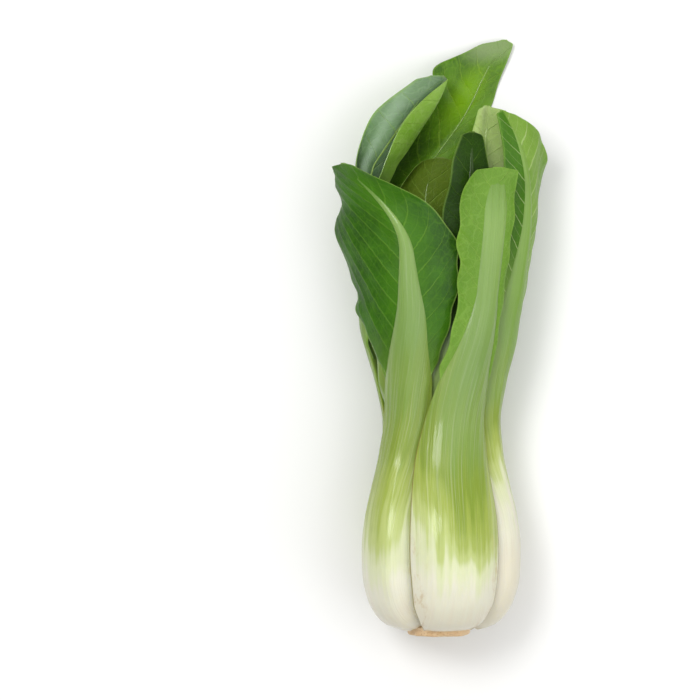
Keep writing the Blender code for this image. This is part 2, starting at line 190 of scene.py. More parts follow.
class Leaf:
    heights = np.linspace(0, 200, 401)

    def __init__(self, number, outer):
        form = leafForm
        for label, value in zip(leafColumns, leafTable[number]):
            setattr(self, label, value)
        self.number = number
        self.kind = 0 if number < form["largeLeaves"] else 1
        self.outer = outer
        h = self.heights
        self.midAngles = head["firstAngle"] + head["goldenAngle"] * number + self.nudge
        self.midAngles = self.midAngles + self.sway * smooth(h, form["swayFrom"], form["swayTo"])
        nearTip = np.clip((h - self.tip) / form["bendLength"] + 1, 0, 1)
        self.midAngles = self.midAngles + self.bend * nearTip ** 2
        v = self.share(h)
        inBlade = h > self.start
        width = self.size * curveAt(form["halfWidth"], np.minimum(h, self.start))
        thick = self.size ** form["thicknessPower"] * curveAt(form["thickness"], np.minimum(h, self.start))
        ribWidth = width * np.maximum(curveAt(form["ribWidth"], v), self.ribKept)
        ribThickness = np.maximum(thick * curveAt(form["ribThickness"], v), 1.2)
        self.halfWidths = np.where(inBlade, ribWidth, width)
        self.thicknesses = np.where(inBlade, ribThickness, thick)
        self.blend = smooth(h, self.start - form["rise"][0], self.start + form["rise"][1])
        self.inset = number * form["innerStep"] * smooth(h, form["innerStepFrom"], form["innerStepTo"])
        depths = self.cover(self.midAngles, h) + self.inset
        outline = curveAt(head["outline"], h)
        reach = np.hypot(outline, np.maximum(head["anchor"] - h, 0))
        outerRadii = np.maximum(reach - depths, 3) * outline / reach
        innerRadii = np.maximum(reach - depths - self.thicknesses, 3) * outline / reach
        self.radii = outerRadii + (innerRadii - outerRadii) * self.blend
        self.stalkAngles = np.minimum(np.degrees(self.halfWidths / self.radii), form["widestStalk"])
        slit = self.halfWidths + form["slit"][self.kind]
        halves = (self.left, self.right)
        edges = [slit + self.wing(v, half) for half in halves]
        widest = [slit + self.wing(np.minimum(v, self.widest), half) for half in halves]
        limit = form["widestBlade"]
        self.edgeAngles = np.minimum(np.degrees(edges / self.radii), limit)
        self.bladeAngles = np.minimum(np.degrees(widest / self.radii), limit) * (1 + form["scallop"])

    def at(self, values, height):
        return np.interp(height, self.heights, values)

    def onSide(self, values, side, height):
        return np.where(side < 0, self.at(values[0], height), self.at(values[1], height))

    def share(self, height):
        return np.clip((height - self.start) / (self.tip - self.start), 0, 1)

    def wing(self, v, half):
        rise = np.clip(v / self.widest, 0, 1)
        fall = np.clip((v - self.widest) / (1 - self.widest), 0, 0.9985)
        shape = np.sin(rise * math.pi / 2) ** leafForm["basePower"]
        shape = shape * (1 - fall ** leafForm["tipRound"]) ** self.point
        return leafForm["firstWing"] + leafForm["bladeHalfWidth"] * half * shape

    def hollow(self, off, height):
        bellWidth = self.at(self.stalkAngles, height) * (1 + leafForm["wideMargin"])
        bell = np.clip(1 - (off / bellWidth) ** 2, 0, 1) ** 1.5
        blend = self.at(self.blend, height)
        edge = leafForm["stalkEdge"]
        return edge + (self.at(self.thicknesses, height) - edge) * (bell * (1 - blend) + blend)

    def room(self, angle, height):
        # The depth that this leaf keeps free of the leaves inside it
        off = turned(angle - self.at(self.midAngles, height))
        limit = self.onSide(self.bladeAngles, off, height)
        off = np.abs(off)
        blend = self.at(self.blend, height)
        stalk = self.at(self.stalkAngles, height)
        limit = np.maximum(limit, stalk)
        margin = stalk * leafForm["wideMargin"] * (1 - blend) + leafForm["edgeMargin"] * blend
        fade = 1 - smooth(off, limit, limit + margin)
        return (self.hollow(off, height) + leafForm["gap"] + leafForm["air"] * self.size * blend) * fade

    def cover(self, angle, height):
        return sum(leaf.room(angle, height) for leaf in self.outer)

    def innerFace(self, off, height):
        angle = self.at(self.midAngles, height) + off
        cover = self.cover(angle, height)
        free = 1 - smooth(cover, 0.2, 3)
        depth = cover + self.at(self.inset, height) + self.hollow(off, height)
        return angle, depth - self.tipCurl * self.share(height) ** 5 * free, free


def shapeMesh(name, place, columns, rows):
    # A grid pulled out into a thin closed slab, whose points are then put in place
    bm = bmesh.new()
    bmesh.ops.create_grid(bm, x_segments=columns, y_segments=rows, size=1)
    inner = len(bm.verts)
    bmesh.ops.extrude_face_region(bm, geom=bm.faces[:], use_keep_orig=True)
    flat = np.array([vertex.co[:] for vertex in bm.verts])
    outside = (np.arange(len(flat)) >= inner).astype(float)
    points, layers = place(flat[:, 0], (flat[:, 1] + 1) / 2, outside)
    points = np.stack(points, axis=1) * mm + axisPlace
    for vertex, point in zip(bm.verts, points):
        vertex.co = point
    bmesh.ops.recalc_face_normals(bm, faces=bm.faces[:])
    mesh = bpy.data.meshes.new(name)
    bm.to_mesh(mesh)
    bm.free()
    for label, values in layers.items():
        layer = mesh.attributes.new(label, "FLOAT", "POINT")
        layer.data.foreach_set("value", np.ascontiguousarray(np.broadcast_to(values, len(flat)), np.float32))
    return mesh


def addPiece(name, mesh, finish, node):
    mesh.materials.append(finish)
    mesh.shade_smooth()
    mesh.set_sharp_from_angle(angle=math.radians(55))
    piece = bpy.data.objects.new(name, mesh)
    bpy.context.scene.collection.objects.link(piece)
    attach(piece, "root")
    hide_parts(node)


bladeShape = {
    "columns": (110, 76),  # for large and small leaves
    "rows": (120, 84),
    "tipRows": 1.35,  # above 1, rows gather towards the tip
    "marginThickness": 0.28,
    "nick": 0.35,  # unevenness of the margin
    "veinSpacing": 8.5,  # mm along the midrib from one side vein to the next
    "veinSlant": 0.95,
    "veinBend": 0.012,
    "quilting": 0.34,  # how far the leaf bulges between its side veins
    "frill": 0.55,  # small waves along the margin
    "frillLength": 2.1,
    "lumps": 0.35,
    # a small lobe on one leaf's edge
    "lobe": {"leaf": 2, "side": 1, "height": 190.5, "length": 3.6, "width": 5.0},
}

# One leaf has its edge rolled over towards the middle, so that its back shows beside its face
rolledEdge = {
    "leaf": 5,
    "side": -1,
    "share": 0.5,  # of the half's columns that go to the rolled part
    "width": [(0, 0), (112, 0), (134, 13.5), (150, 16), (162, 15.5), (172, 12.5), (180, 8.5), (187, 2)],
    "radius": 1.1,
    "rise": 0.12,
}


def bladeEdge(leaf, side, v, height, seed, phase):
    # Degrees from the leaf's middle to the midrib's edge, to the blade's first strip and to its margin
    radius = leaf.at(leaf.radii, height)
    halfRib = leaf.at(leaf.halfWidths, height)
    slit = halfRib + leafForm["slit"][leaf.kind]
    slit = np.degrees((slit + (leafForm["firstWing"] - slit) * smooth(v, 0.86, 1)) / radius)
    rib = np.degrees(halfRib / radius)
    scallop = 1 + leafForm["scallop"] * np.sin(2 * math.pi * 2 * leafForm["waves"] * v + phase)
    edge = np.maximum(leaf.onSide(leaf.edgeAngles, side, height) * scallop, slit)
    nick = np.degrees(bladeShape["nick"] * ripples(v * 60, side * 9, seed, 3.1) / radius)
    edge = (edge + nick * smooth(v, 0.05, 0.3)) * (1 - smooth(v, 0.985, 1) * 0.7)
    lobe = bladeShape["lobe"]
    if leaf.number + 1 == lobe["leaf"]:
        bulge = np.exp(-((height - lobe["height"]) / lobe["length"]) ** 2) * (side == lobe["side"])
        edge = edge + np.degrees(lobe["width"] / radius) * bulge
    return rib, slit, rib * 0.9 + (edge - rib * 0.9) * smooth(v, 0, 0.12)


def bladeRelief(leaf, fromRib, side, height, seed):
    # Side veins leave the midrib at a slant and bend up towards the tip, and the leaf bulges between them
    shape = bladeShape
    along = fromRib * shape["veinSlant"] + shape["veinBend"] * fromRib ** 2
    veins = (height - along) / shape["veinSpacing"] + 0.31 * side + 0.5 * leaf.number
    veins = veins + 0.16 * ripples(fromRib, height, seed, 9) + 0.1 * np.sin(height / 17 + seed)
    between = np.abs(np.sin(math.pi * veins)) ** 0.8
    relief = shape["quilting"] * (between - 0.5)
    return veins, relief + shape["lumps"] * ripples(fromRib * side, height, seed + 3, 11)


def bladePlace(leaf):
    seed = 1.3 * leaf.number + 0.7

    def place(across, along, outside):
        side = np.where(across < 0, -1.0, 1.0)
        v = 1 - (1 - along) ** bladeShape["tipRows"]
        height = leaf.start + v * (leaf.tip - leaf.start)
        radius = leaf.at(leaf.radii, height)
        phase = 2.4 * leaf.number + 1.3 * side
        rib, slit, edge = bladeEdge(leaf, side, v, height, seed, phase)
        rolls = (leaf.number + 1 == rolledEdge["leaf"]) & (side == rolledEdge["side"])
        flatShare = np.where(rolls, 1 - rolledEdge["share"], 1)
        off = side * np.minimum(np.abs(across) / flatShare, 1) * edge
        out = np.clip((np.abs(off) - slit) / np.maximum(edge - slit, 1), 0, 1)
        angle, depth, free = leaf.innerFace(off, height)
        # past the fold the sheet turns over and runs back towards the midrib
        past = np.clip((np.abs(across) - flatShare) / rolledEdge["share"], 0, 1) * rolls
        past = past * curveAt(rolledEdge["width"], height)
        bow = np.minimum(past / rolledEdge["radius"], math.pi)
        straight = np.maximum(past - math.pi * rolledEdge["radius"], 0)
        angle = angle - side * np.degrees((straight - rolledEdge["radius"] * np.sin(bow)) / radius)
        fold = rolledEdge["radius"] * (1 - np.cos(bow)) + straight * rolledEdge["rise"]
        # waves, curled edges, bulges and frills, all weaker where other leaves lie over this one
        loose = leafForm["coveredWave"] + (1 - leafForm["coveredWave"]) * free
        wide = smooth(np.radians(edge - slit) * radius, 0, leafForm["waveWidth"])
        wave = leaf.wave * wide * out ** 2 * np.sin(2 * math.pi * leafForm["waves"] * v + phase)
        depth = depth - wave * loose * smooth(v, 0.05, 0.4)
        depth = depth - leaf.edgeCurl * wide * out ** 3 * smooth(v, 0.2, 0.7) * free
        fromRib = np.abs(np.radians(off)) * radius
        veins, relief = bladeRelief(leaf, fromRib, side, height, seed)
        relief = relief * smooth(np.abs(off), rib, rib * 1.6 + 4) * (1 - 0.6 * out ** 4)
        frill = np.sin(height / bladeShape["frillLength"] + 1.5 * np.sin(height / 7 + seed) + phase)
        frill = bladeShape["frill"] * wide * out ** 4 * frill
        depth = depth + (relief + frill * smooth(v, 0.08, 0.3)) * loose
        thick = leafForm["bladeThickness"]
        thick = thick + (bladeShape["marginThickness"] - thick) * out ** 3
        lift = leafForm["bladeClear"] + (1 - outside) * thick
        points = shellPoint(angle, height, depth + fold - outside * thick * np.cos(bow), lift)
        toMargin = np.minimum((1 - np.abs(across)) * np.radians(edge) * radius, (leaf.tip - height) * 1.2)
        return points, {"fromRib": (fromRib + past) * side, "upLeaf": height - leaf.start, "share": v,
                        "toMargin": toMargin, "veins": veins, "outside": outside}

    return place


stalkShape = {
    "columns": (44, 32),  # for large and small leaves
    "rows": (130, 96),
    "foot": 1.2,
    "ribEnd": 0.994,  # share of the blade that the midrib runs up
    "closing": 15.0,  # mm over which a midrib sinks into the blade at its end
    "ridges": 0.16,
    "lumps": 0.3,
    "innerRise": 0.2,  # how far the midrib stands out of the blade's inner face
    "innerSink": 0.35,
    "innerLine": 0.9,  # half width of the line that it shows there
}


def stalkPlace(leaf):
    shape = stalkShape
    seed = 2.1 * leaf.number + 0.4

    def place(across, along, outside):
        top = leaf.start + shape["ribEnd"] * (leaf.tip - leaf.start)
        height = shape["foot"] + (top - shape["foot"]) * along
        a = np.sin(across * math.pi / 2)  # columns gather at the two edges
        taper = np.sqrt(np.clip(1 - smooth(height, leaf.start, leaf.tip) ** 1.5, 0.02, 1))
        taper = np.maximum(taper, smooth(leaf.ribKept, 0.15, 0.4))
        ending = smooth(height, top - shape["closing"], top)
        half = leaf.at(leaf.stalkAngles, height) * (0.35 + 0.65 * taper) * (1 - 0.4 * ending)
        off = a * half
        angle, depth, _ = leaf.innerFace(off, height)
        thick = leaf.at(leaf.thicknesses, height)
        inBlade = smooth(height, leaf.start - 4, leaf.start + 6)
        thin = smooth(height, leaf.tip - 0.45 * (leaf.tip - leaf.start), leaf.tip)
        thick = thick + (1.05 - thick) * thin
        edge = leafForm["stalkEdge"]
        outer = edge + (thick - edge) * (1 - a ** 2)
        middle = 0.5 + 0.05 * (1 - inBlade)
        closing = np.sqrt(np.clip(1 - ending, 0.001, 1))
        rounding = np.sqrt(np.clip(1 - np.abs(a) ** 7, 0, 1)) * closing
        width = np.radians(half) * leaf.at(leaf.radii, height)
        fromMiddle = a * width
        ridges = shape["ridges"] * np.cos(fromMiddle * 2.3 + 0.5 * np.sin(height / 23 + seed))
        ridges = ridges * smooth(height, 8, 30) * (1 - 0.8 * inBlade) * (1 - a ** 6)
        lumps = shape["lumps"] * ripples(fromMiddle, height * 0.45, seed, 7) * (1 - a ** 4) * (1 - inBlade)
        foot = 1.1 * (1 - smooth(height, shape["foot"], shape["foot"] + 3.5)) ** 2
        outer = middle + (outer + ridges + lumps - foot - middle) * rounding
        narrow = smooth(leaf.share(height), 0, 0.45)
        line = width + (shape["innerLine"] * (1 - 0.6 * leaf.share(height)) - width) * narrow
        line = np.exp(-(fromMiddle / line) ** 2)
        sunk = shape["innerSink"] - (shape["innerSink"] + shape["innerRise"]) * line
        inner = middle + (sunk * inBlade - middle) * rounding
        # where the leaf lies on the floor its midrib still shows above the blade's inner face
        lift = (1 - outside) * inBlade * (leafForm["bladeClear"] + leafForm["bladeThickness"] - sunk)
        points = shellPoint(angle, height, depth - np.where(outside > 0.5, outer, inner), lift)
        return points, {"fromRib": fromMiddle, "height": height, "edge": np.abs(a), "outside": outside,
                        "upLeaf": height - leaf.start, "share": leaf.share(height)}

    return place


def sRgb(red, green, blue):
    # A screen colour as the light values that Blender mixes
    values = [channel / 255 for channel in (red, green, blue)]
    return [v / 12.92 if v <= 0.04045 else ((v + 0.055) / 1.055) ** 2.4 for v in values] + [1.0]


def joinUp(tree, value, socket):
    if isinstance(value, bpy.types.NodeSocket):
        tree.links.new(value, socket)
    else:
        socket.default_value = value


def calc(tree, operation, *values):
    node = tree.nodes.new("ShaderNodeMath")
    node.operation = operation
    for socket, value in zip(node.inputs, values):
        joinUp(tree, value, socket)
    return node.outputs[0]


def times(tree, first, second):
    return calc(tree, "MULTIPLY", first, second)


def plus(tree, first, second):
    return calc(tree, "ADD", first, second)


def minus(tree, first, second):
    return calc(tree, "SUBTRACT", first, second)


def fadeBetween(tree, value, low, high, toLow=0.0, toHigh=1.0):
    node = tree.nodes.new("ShaderNodeMapRange")
    node.interpolation_type = "SMOOTHSTEP"
    labels = ("Value", "From Min", "From Max", "To Min", "To Max")
    for label, part in zip(labels, (value, low, high, toLow, toHigh)):
        joinUp(tree, part, node.inputs[label])
    return node.outputs["Result"]


def mixColour(tree, share, first, second):
    node = tree.nodes.new("ShaderNodeMix")
    node.data_type = "RGBA"
    node.clamp_factor = True
    joinUp(tree, share, node.inputs[0])
    joinUp(tree, first, node.inputs[6])
    joinUp(tree, second, node.inputs[7])
    return node.outputs[2]


def noise(tree, place, scale, detail=3.0, roughness=0.5):
    node = tree.nodes.new("ShaderNodeTexNoise")
    joinUp(tree, place, node.inputs["Vector"])
    for label, value in (("Scale", scale), ("Detail", detail), ("Roughness", roughness)):
        joinUp(tree, value, node.inputs[label])
    return node.outputs["Fac"]


def layer(tree, label):
    node = tree.nodes.new("ShaderNodeAttribute")
    node.attribute_name = label
    return node.outputs["Fac"]


def spot(tree, x, y, z=0.0):
    node = tree.nodes.new("ShaderNodeCombineXYZ")
    for socket, value in zip(node.inputs, (x, y, z)):
        joinUp(tree, value, socket)
    return node.outputs[0]


def newGroup(name, inputs, outputs):
    # A group of nodes that takes numbers, each with its usual value, and puts out numbers
    group = bpy.data.node_groups.new(name, "ShaderNodeTree")
    for label, value in inputs.items():
        socket = group.interface.new_socket(name=label, in_out="INPUT", socket_type="NodeSocketFloat")
        socket.default_value = value
    for label in outputs:
        group.interface.new_socket(name=label, in_out="OUTPUT", socket_type="NodeSocketFloat")
    return group, group.nodes.new("NodeGroupInput").outputs, group.nodes.new("NodeGroupOutput").inputs


def useGroup(tree, group, **values):
    node = tree.nodes.new("ShaderNodeGroup")
    node.node_tree = group
    for label, value in values.items():
        joinUp(tree, value, node.inputs[label])
    return node.outputs


def newFinish(name):
    finish = bpy.data.materials.new(name)
    finish.use_nodes = True
    return finish, finish.node_tree, finish.node_tree.nodes["Principled BSDF"]


def setSkin(shader, skin):
    # Values that are the same all over a surface
    for label, value in skin.items():
        shader.inputs[label].default_value = value


def addBump(tree, height, strength, distance):
    bump = tree.nodes.new("ShaderNodeBump")
    bump.inputs["Strength"].default_value = strength
    bump.inputs["Distance"].default_value = distance
    joinUp(tree, height, bump.inputs["Height"])
    joinUp(tree, bump.outputs["Normal"], tree.nodes["Principled BSDF"].inputs["Normal"])


def makeVeinGroup():
    # Main side veins, weaker ones between them, and a fine net
    inputs = {"Phase": 0.0, "FromRib": 0.0, "UpLeaf": 0.0, "ToMargin": 5.0, "Spacing": 8.5, "Width": 0.5}
    group, given, out = newGroup("leafVeins", inputs, ["Main", "Net"])
    wobble = noise(group, spot(group, given["FromRib"], given["UpLeaf"]), 0.35, 2.0)
    phase = plus(group, given["Phase"], times(group, minus(group, wobble, 0.5), 0.12))

    def lines(count, width):
        # how far the nearest line is, in mm, with count lines for each side vein
        turns = times(group, phase, count)
        away = minus(group, calc(group, "FRACT", plus(group, turns, 0.5)), 0.5)
        away = times(group, calc(group, "ABSOLUTE", away), times(group, given["Spacing"], 0.72 / count))
        return fadeBetween(group, away, times(group, width, 0.25), width, 1.0, 0.0)

    thinning = fadeBetween(group, given["ToMargin"], 0.0, 14.0, 0.35, 1.0)
    width = times(group, given["Width"], thinning)
    weak = times(group, lines(2.0, times(group, width, 0.6)), 0.4)
    joinUp(group, calc(group, "MAXIMUM", lines(1.0, width), weak), out["Main"])
    sway = times(group, wobble, 3.0)
    place = spot(group, plus(group, given["FromRib"], sway), plus(group, given["UpLeaf"], sway))
    nets = []
    for scale, strength in ((0.24, 1.0), (0.62, 0.6)):
        cells = group.nodes.new("ShaderNodeTexVoronoi")
        cells.feature = "DISTANCE_TO_EDGE"
        cells.inputs["Scale"].default_value = scale
        joinUp(group, place, cells.inputs["Vector"])
        nets.append(fadeBetween(group, cells.outputs["Distance"], 0.01, 0.075, strength, 0.0))
    joinUp(group, calc(group, "MAXIMUM", *nets), out["Net"])
    return group


def makeFibreGroup():
    # Long streaks that run up a stalk, broad ones and fine ones
    inputs = {"FromRib": 0.0, "Height": 0.0, "Offset": 0.0}
    group, given, out = newGroup("stalkFibres", inputs, ["Broad", "Fine"])
    for label, wide, long, detail in (("Broad", 0.42, 0.018, 2.0), ("Fine", 2.3, 0.03, 3.0)):
        x = times(group, given["FromRib"], wide)
        y = times(group, given["Height"], long)
        joinUp(group, noise(group, spot(group, x, y, given["Offset"]), 1.0, detail), out[label])
    return group


veinGroup = makeVeinGroup()
fibreGroup = makeFibreGroup()

bladeTones = {
    "inner": (84, 128, 30),
    "innerDeep": (40, 76, 10),
    "innerLight": (112, 156, 38),
    "outer": (92, 138, 32),
    "outerDeep": (66, 110, 16),
    "outerLight": (124, 162, 58),
    "vein": (146, 182, 74),
    "rim": (136, 172, 70),
    "base": (120, 158, 60),
    "veinOnInner": 0.3,
    "veinOnOuter": 0.4,
    "veinWidth": 0.4,
    "net": 0.28,
    "rimShare": 0.32,
    "roughness": (0.36, 0.48),  # of the inner and the outer face
    "gloss": 0.16,
    "bump": (0.8, 1.0 * mm),  # strength and height
    "skin": {"Specular IOR Level": 0.14, "Coat Roughness": 0.16, "Subsurface Weight": 0.12,
             "Subsurface Radius": (0.6, 1.0, 0.3), "Subsurface Scale": 1.2 * mm},
}

# What single leaves have of their own. A spot of painted light is soft: mm across from the midrib, mm up the
# blade, how wide and how long it is, its colour and how strong it is; such spots paint glow, shade and sheen
# on a leaf.
# "half" gives one half of a leaf two darker colours of its own, a painted shade on that half.
leafTones = {
    1: {"outer": (100, 142, 36), "outerDeep": (84, 130, 24), "outerLight": (134, 172, 72),
        "veinOnOuter": 0.34},
    2: {"inner": (92, 138, 24), "innerDeep": (46, 86, 8), "innerLight": (118, 160, 40),
        "vein": (150, 184, 60),
        # painted light on leaf 2: a glow in the middle of the blade, painted shade lower down on one side and
        # a greyish painted sheen at the tip
        "paintedLightSpots": [(4, 84, 8, 13, (128, 176, 6), 0.7), (14, 56, 12, 22, (34, 66, 4), 0.75),
                  (2, 102, 16, 7, (142, 162, 112), 0.7)]},
    # leaf 3's pale rim colour is a painted highlight along its edges
    3: {"outer": (54, 106, 4), "outerDeep": (34, 78, 1), "outerLight": (76, 126, 12),
        "vein": (112, 158, 44), "veinOnOuter": 0.3, "base": (96, 138, 40), "rim": (176, 206, 104)},
    # one half of leaf 4 is painted in darker greens: painted shade on that half
    4: {"outer": (118, 156, 54), "outerDeep": (98, 140, 36), "outerLight": (138, 172, 80),
        "vein": (180, 204, 130), "veinOnOuter": 0.6, "half": (-1, (54, 104, 4), (90, 138, 30))},
    # leaf 5's inner face is painted in greyish blue-greens, a painted sheen; its spots paint dark bands of
    # shade along the midrib and 10 mm to one side, with a pale streak of painted sheen between them
    5: {"inner": (100, 134, 88), "innerDeep": (58, 92, 52), "innerLight": (146, 174, 134),
        "outer": (142, 184, 76), "outerDeep": (118, 166, 46), "outerLight": (160, 196, 104), "gloss": 0.4,
        "paintedLightSpots": [(0, 52, 2.6, 44, (62, 96, 60), 0.55), (4, 60, 2.6, 40, (176, 202, 172), 0.7),
                  (10, 46, 4.6, 40, (44, 76, 48), 0.7)]},
    # leaf 6 is painted almost black-green, a painted shade for the shadow it lies in
    6: {"outer": (28, 58, 1), "outerDeep": (14, 38, 0), "outerLight": (48, 82, 6),
        "vein": (92, 130, 34), "veinOnOuter": 0.26, "gloss": 0.04},
    9: {"outer": (172, 194, 118), "outerDeep": (154, 180, 94), "outerLight": (184, 204, 138),
        "veinOnOuter": 0.25},
    10: {"inner": (88, 114, 26), "innerDeep": (58, 84, 12), "innerLight": (116, 138, 48),
         "rim": (156, 176, 104)},
}


def bladeSide(tree, tones, marks, deep, plain, light, veinShare):
    # One face: clouds of two greens, lighter flecks, a lighter band beside the midrib, the net and the veins
    clouds, mottle, nearRib, veins = marks
    colour = mixColour(tree, clouds, sRgb(*deep), sRgb(*plain))
    lit = times(tree, fadeBetween(tree, mottle, 0.45, 0.8), 0.5)
    lit = calc(tree, "MAXIMUM", lit, times(tree, nearRib, 0.3))
    colour = mixColour(tree, lit, colour, sRgb(*light))
    colour = mixColour(tree, times(tree, veins["Net"], tones["net"]), colour, sRgb(*light))
    return mixColour(tree, times(tree, veins["Main"], veinShare), colour, sRgb(*tones["vein"]))


# Soft spots of painted light, painted shade and painted sheen, mixed into a leaf's colour
def addPaintedLightSpots(tree, colour, paintedLightSpots, fromRib, upLeaf, clouds):
    uneven = times(tree, minus(tree, clouds, 0.5), 0.3)
    for middle, up, wide, long, tone, strength in paintedLightSpots:
        across = calc(tree, "DIVIDE", minus(tree, fromRib, middle), wide)
        along = calc(tree, "DIVIDE", minus(tree, upLeaf, up), long)
        away = calc(tree, "SQRT", plus(tree, times(tree, across, across), times(tree, along, along)))
        away = plus(tree, away, uneven)
        colour = mixColour(tree, fadeBetween(tree, away, 0.15, 1.1, strength, 0.0), colour, sRgb(*tone))
    return colour


def bladeFinish(number):
    tones = {**bladeTones, **leafTones.get(number, {})}
    finish, tree, shader = newFinish(f"leaf_green_{number:02d}")
    fromRib, upLeaf, toMargin, outside, share = (
        layer(tree, label) for label in ("fromRib", "upLeaf", "toMargin", "outside", "share"))
    place = spot(tree, fromRib, upLeaf, 7.3 * number)
    veins = useGroup(tree, veinGroup, Phase=layer(tree, "veins"), FromRib=fromRib, UpLeaf=upLeaf,
                     ToMargin=toMargin, Spacing=bladeShape["veinSpacing"], Width=tones["veinWidth"])
    clouds = fadeBetween(tree, noise(tree, place, 0.06, 3.0), 0.32, 0.68)
    mottle = noise(tree, place, 0.5, 5.0, 0.65)
    nearRib = fadeBetween(tree, calc(tree, "ABSOLUTE", fromRib), 1.5, 13.0, 1.0, 0.0)
    marks = (clouds, mottle, nearRib, veins)
    inner, outer = (
        bladeSide(tree, tones, marks, tones[face + "Deep"], tones[face], tones[face + "Light"], veinShare)
        for face, veinShare in (("inner", tones["veinOnInner"]), ("outer", tones["veinOnOuter"])))
    colour = mixColour(tree, outside, inner, outer)
    # one half of the leaf painted in darker greens, a painted shade
    if "half" in tones:
        which, deep, light = tones["half"]
        other = bladeSide(tree, tones, marks, deep, deep, light, tones["veinOnOuter"])
        shadedHalf = fadeBetween(tree, times(tree, fromRib, which), 0.0, 0.8)
        shadedHalf = times(tree, shadedHalf, fadeBetween(tree, upLeaf, 20.0, 45.0))
        colour = mixColour(tree, shadedHalf, colour, other)
    # spots of painted glow, painted shade and painted sheen
    colour = addPaintedLightSpots(tree, colour, tones.get("paintedLightSpots", []), fromRib, upLeaf, clouds)
    colour = mixColour(tree, fadeBetween(tree, share, 0.0, 0.3, 0.75, 0.0), colour, sRgb(*tones["base"]))
    rim = fadeBetween(tree, toMargin, 0.15, 0.8, tones["rimShare"], 0.0)
    joinUp(tree, mixColour(tree, rim, colour, sRgb(*tones["rim"])), shader.inputs["Base Color"])
    fine = noise(tree, place, 2.2, 4.0, 0.6)
    innerRoughness, outerRoughness = tones["roughness"]
    roughness = plus(tree, times(tree, outside, outerRoughness - innerRoughness), innerRoughness)
    roughness = plus(tree, roughness, times(tree, minus(tree, fine, 0.5), 0.22))
    joinUp(tree, roughness, shader.inputs["Roughness"])
    # veins stand out on the outer face and are sunk into the inner one
    lines = plus(tree, times(tree, veins["Main"], 0.16), times(tree, veins["Net"], 0.06))
    lines = times(tree, lines, minus(tree, times(tree, outside, 2.0), 1.0))
    height = plus(tree, plus(tree, lines, times(tree, fine, 0.05)), times(tree, mottle, 0.12))
    addBump(tree, height, *tones["bump"])
    setSkin(shader, {**tones["skin"], "Coat Weight": tones["gloss"]})
    return finish


stalkTones = {
    "foot": (226, 208, 168),
    # colours by height, in mm
    "ramp": [(0, (226, 220, 198)), (14, (227, 225, 204)), (26, (217, 222, 180)), (35, (186, 199, 120)),
             (44, (162, 178, 80)), (58, (134, 156, 56)), (80, (128, 156, 70)), (104, (122, 154, 76)),
             (150, (132, 166, 82)), (200, (142, 172, 72))],
    "pale": (238, 238, 214),
    "streak": (118, 148, 50),
    "stain": (184, 144, 66),
    "bruise": (172, 122, 84),
    "inside": (158, 188, 84),
    "edgeLine": (128, 116, 50),
    "lines": 0.17,
    "darkLines": 0.2,
    # how much higher than usual the green sets in, in mm
    "greenUp": {3: 3.0, 4: 27.0},
    # how much lower it reaches on one side of the midrib, and where across the stalk that starts and is full
    "tongue": {1: (12.0, -8.0, -1.0)},
    # how far the midrib takes on the blade's own colour
    "ribBlend": {2: 0.5, 4: 0.6, 6: 0.92, 10: 0.2},
    "bump": (0.6, 1.0 * mm),
    "skin": {"Specular IOR Level": 0.25, "Coat Weight": 0.35, "Coat Roughness": 0.13,
             "Subsurface Weight": 0.3, "Subsurface Radius": (1.0, 0.9, 0.5), "Subsurface Scale": 2.5 * mm},
}


def heightRamp(tree, height, stops, top=200.0):
    node = tree.nodes.new("ShaderNodeValToRGB")
    node.color_ramp.interpolation = "EASE"
    points = node.color_ramp.elements
    while len(points) < len(stops):
        points.new(0.5)
    for point, (at, tone) in zip(points, stops):
        point.position = at / top
        point.color = sRgb(*tone)
    joinUp(tree, calc(tree, "DIVIDE", height, top), node.inputs[0])
    return node.outputs["Color"]


def greenHeight(tree, number, fromRib, height, edge, broad, clouds):
    # The height that the ramp is read at: the green climbs higher in some streaks than in others
    shifted = plus(tree, height, times(tree, minus(tree, broad, 0.5), 34.0))
    shifted = plus(tree, shifted, times(tree, minus(tree, clouds, 0.5), 22.0))
    shifted = minus(tree, shifted, times(tree, calc(tree, "POWER", edge, 3.0), 13.0))
    late = fadeBetween(tree, height, 40.0, 95.0, stalkTones["greenUp"].get(number, 0.0), 0.0)
    shifted = minus(tree, shifted, late)
    if number in stalkTones["tongue"]:
        deep, start, full = stalkTones["tongue"][number]
        tongue = fadeBetween(tree, fromRib, start, full, 0.0, deep)
        shifted = plus(tree, shifted, times(tree, tongue, fadeBetween(tree, height, 18.0, 34.0)))
    return calc(tree, "MAXIMUM", shifted, 0.0)


def stalkLines(tree, colour, height, fine):
    # Fine pale and dark lines that run up the stalk
    pale = fadeBetween(tree, fine, 0.5, 0.74, 0.0, stalkTones["lines"])
    pale = times(tree, pale, fadeBetween(tree, height, 62.0, 100.0, 1.0, 0.35))
    colour = mixColour(tree, pale, colour, sRgb(*stalkTones["pale"]))
    dark = fadeBetween(tree, fine, 0.26, 0.46, stalkTones["darkLines"], 0.0)
    dark = times(tree, dark, fadeBetween(tree, height, 20.0, 60.0))
    return mixColour(tree, dark, colour, sRgb(*stalkTones["streak"]))


def ribColour(tree, colour, number, height, outside, share):
    # Up the blade the midrib is lighter inside and fades into the blade's own colour
    within = times(tree, minus(tree, 1.0, outside), fadeBetween(tree, height, 70.0, 150.0, 0.5, 0.2))
    colour = mixColour(tree, within, colour, sRgb(*stalkTones["inside"]))
    own = {**bladeTones, **leafTones.get(number, {})}
    blade = mixColour(tree, outside, sRgb(*own["inner"]), sRgb(*own["outer"]))
    blend = stalkTones["ribBlend"].get(number, 0.0)
    taken = calc(tree, "MAXIMUM", fadeBetween(tree, share, 0.72, 1.0, 0.0, 0.85),
                 fadeBetween(tree, share, 0.02, 0.3, 0.0, blend))
    return mixColour(tree, taken, colour, blade)


